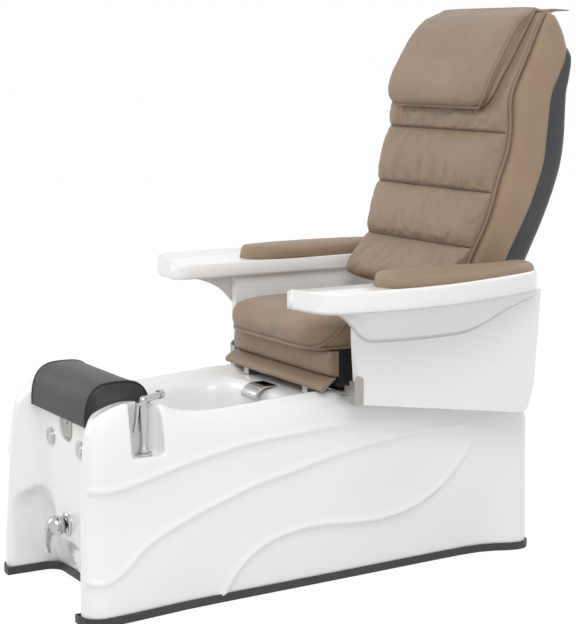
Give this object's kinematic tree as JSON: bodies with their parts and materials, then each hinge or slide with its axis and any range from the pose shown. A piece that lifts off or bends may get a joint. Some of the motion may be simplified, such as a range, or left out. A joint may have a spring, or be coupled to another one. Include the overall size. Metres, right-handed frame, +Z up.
{
  "type": "pedicure chair",
  "caption": "Pedicure chair: moulded foot-bath base, sliding seat, reclining padded massage back, swing-out arms with trays, footrest pad, tap and hand sprayer.",
  "frame": {"origin": "on the floor, at the centre of the whole object's box", "axes": "+Z up, the sitter faces -Y, +X is the sitter's left hand"},
  "size_m": [0.9502, 1.42, 1.4103],
  "materials": {
    "gloss_white": "polished",
    "bath_white": "polished",
    "trim_grey": "satin",
    "frame_grey": "powder coated",
    "rail_steel": "brushed",
    "bracket_steel": "brushed",
    "chrome": "polished",
    "rubber_black": "matte",
    "pipe_grey": "satin",
    "valve_brass": "cast",
    "pipe_copper": "drawn",
    "motor_black": "matte",
    "cover_black": "matte",
    "cover_charcoal": "grained",
    "leather_tan": "soft grain",
    "leather_brown": "soft grain",
    "leather_charcoal": "soft grain",
    "roller_cream": "smooth"
  },
  "bodies": {
    "base": {"base_shell": "gloss_white", "base_trim": "trim_grey", "basin": "bath_white", "base_frame": "frame_grey", "levelling_feet": "rubber_black", "drain_strainer": "chrome", "drain_pipe": "pipe_grey", "jet_housing": "bath_white", "jet_cover": "bath_white", "waterfall_spout": "chrome", "sprayer_collar": "chrome", "mixer_valve": "valve_brass", "mixer_escutcheon": "chrome", "supply_pipes": "pipe_copper", "button_bezels": "chrome", "footrest_guide": "rail_steel", "seat_rails": "rail_steel", "slide_actuator": "motor_black", "arm_posts": "frame_grey", "arm_catches": "rail_steel", "left_arm_pins": "chrome", "right_arm_pins": "chrome"},
    "seat": {"actuator_rod": "chrome", "seat_carriage": "frame_grey", "seat_side_covers": "cover_black", "seat_box": "leather_tan", "seat_skirt": "leather_tan", "seat_cushion": "leather_tan", "recline_motor": "motor_black", "recline_pins": "chrome"},
    "back": {"back_frame": "frame_grey", "back_shell": "cover_charcoal", "back_body": "leather_tan", "back_pad": "leather_tan", "massage_rails": "rail_steel"},
    "pillow": {"head_pillow": "leather_tan"},
    "massage_unit": {"massage_carriage": "motor_black"},
    "rollers": {"massage_rollers": "roller_cream"},
    "left_arm": {"left_arm_panel": "gloss_white", "left_arm_tray": "gloss_white", "left_arm_pad": "leather_brown", "left_arm_bracket": "bracket_steel"},
    "right_arm": {"right_arm_panel": "gloss_white", "right_arm_tray": "gloss_white", "right_arm_pad": "leather_brown", "right_arm_bracket": "bracket_steel"},
    "footrest": {"footrest_bracket": "bracket_steel", "footrest_pad": "leather_charcoal"},
    "sprayer": {"sprayer_body": "chrome"},
    "sprayer_trigger": {"sprayer_lever": "chrome"},
    "tap_stem": {"mixer_stem": "chrome"},
    "tap_handle": {"mixer_handle": "chrome"},
    "left_push": {"left_button": "chrome"},
    "right_push": {"right_button": "chrome"},
    "impeller": {"jet_impeller": "pipe_grey"}
  },
  "joints": [
    {"name": "seat_slide", "type": "slide", "parent": "base", "child": "seat", "axis": [0, -1, 0], "range_m": [0, 0.15]},
    {"name": "back_recline", "type": "hinge", "parent": "seat", "child": "back", "pos_m": [0, 0.387, 0.61176], "axis": [-1, 0, 0], "range_deg": [0, 36]},
    {"name": "pillow_flip", "type": "hinge", "parent": "back", "child": "pillow", "pos_m": [0, 0.61072, 1.40006], "axis": [-1, 0, 0], "range_deg": [0, 105]},
    {"name": "massage_travel", "type": "slide", "parent": "back", "child": "massage_unit", "axis": [0, 0.2426, 0.9701], "range_m": [0, 0.301]},
    {"name": "rollers_spin", "type": "hinge", "parent": "massage_unit", "child": "rollers", "pos_m": [0, 0.43969, 0.85482], "axis": [1, 0, 0], "continuous": true},
    {"name": "left_arm_swing", "type": "hinge", "parent": "base", "child": "left_arm", "pos_m": [0.278, 0.5, 0.49], "axis": [0, 0, 1], "range_deg": [0, 60]},
    {"name": "right_arm_swing", "type": "hinge", "parent": "base", "child": "right_arm", "pos_m": [-0.278, 0.5, 0.49], "axis": [0, 0, -1], "range_deg": [0, 60]},
    {"name": "footrest_lift", "type": "slide", "parent": "base", "child": "footrest", "axis": [0, 0, 1], "range_m": [0, 0.06]},
    {"name": "sprayer_lift", "type": "slide", "parent": "base", "child": "sprayer", "axis": [0, 0, 1], "range_m": [0, 0.1]},
    {"name": "sprayer_squeeze", "type": "hinge", "parent": "sprayer", "child": "sprayer_trigger", "pos_m": [0.225, -0.552, 0.49855], "axis": [1, 0, 0], "range_deg": [0, 5], "stiffness_Nm_per_rad": 1, "springref_deg": -1.72},
    {"name": "tap_turn", "type": "hinge", "parent": "base", "child": "tap_stem", "pos_m": [0, -0.64, 0.172], "axis": [0, 1, 0], "range_deg": [-45, 45]},
    {"name": "tap_lift", "type": "hinge", "parent": "tap_stem", "child": "tap_handle", "pos_m": [0, -0.664, 0.172], "axis": [-1, 0, 0], "range_deg": [0, 25]},
    {"name": "left_button_press", "type": "slide", "parent": "base", "child": "left_push", "axis": [0, 1, 0], "range_m": [0, 0.003], "stiffness_N_per_m": 500, "springref_m": -0.001},
    {"name": "right_button_press", "type": "slide", "parent": "base", "child": "right_push", "axis": [0, 1, 0], "range_m": [0, 0.003], "stiffness_N_per_m": 500, "springref_m": -0.001},
    {"name": "jet_spin", "type": "hinge", "parent": "base", "child": "impeller", "pos_m": [0, -0.12, 0.268], "axis": [0, 1, 0], "continuous": true}
  ]
}
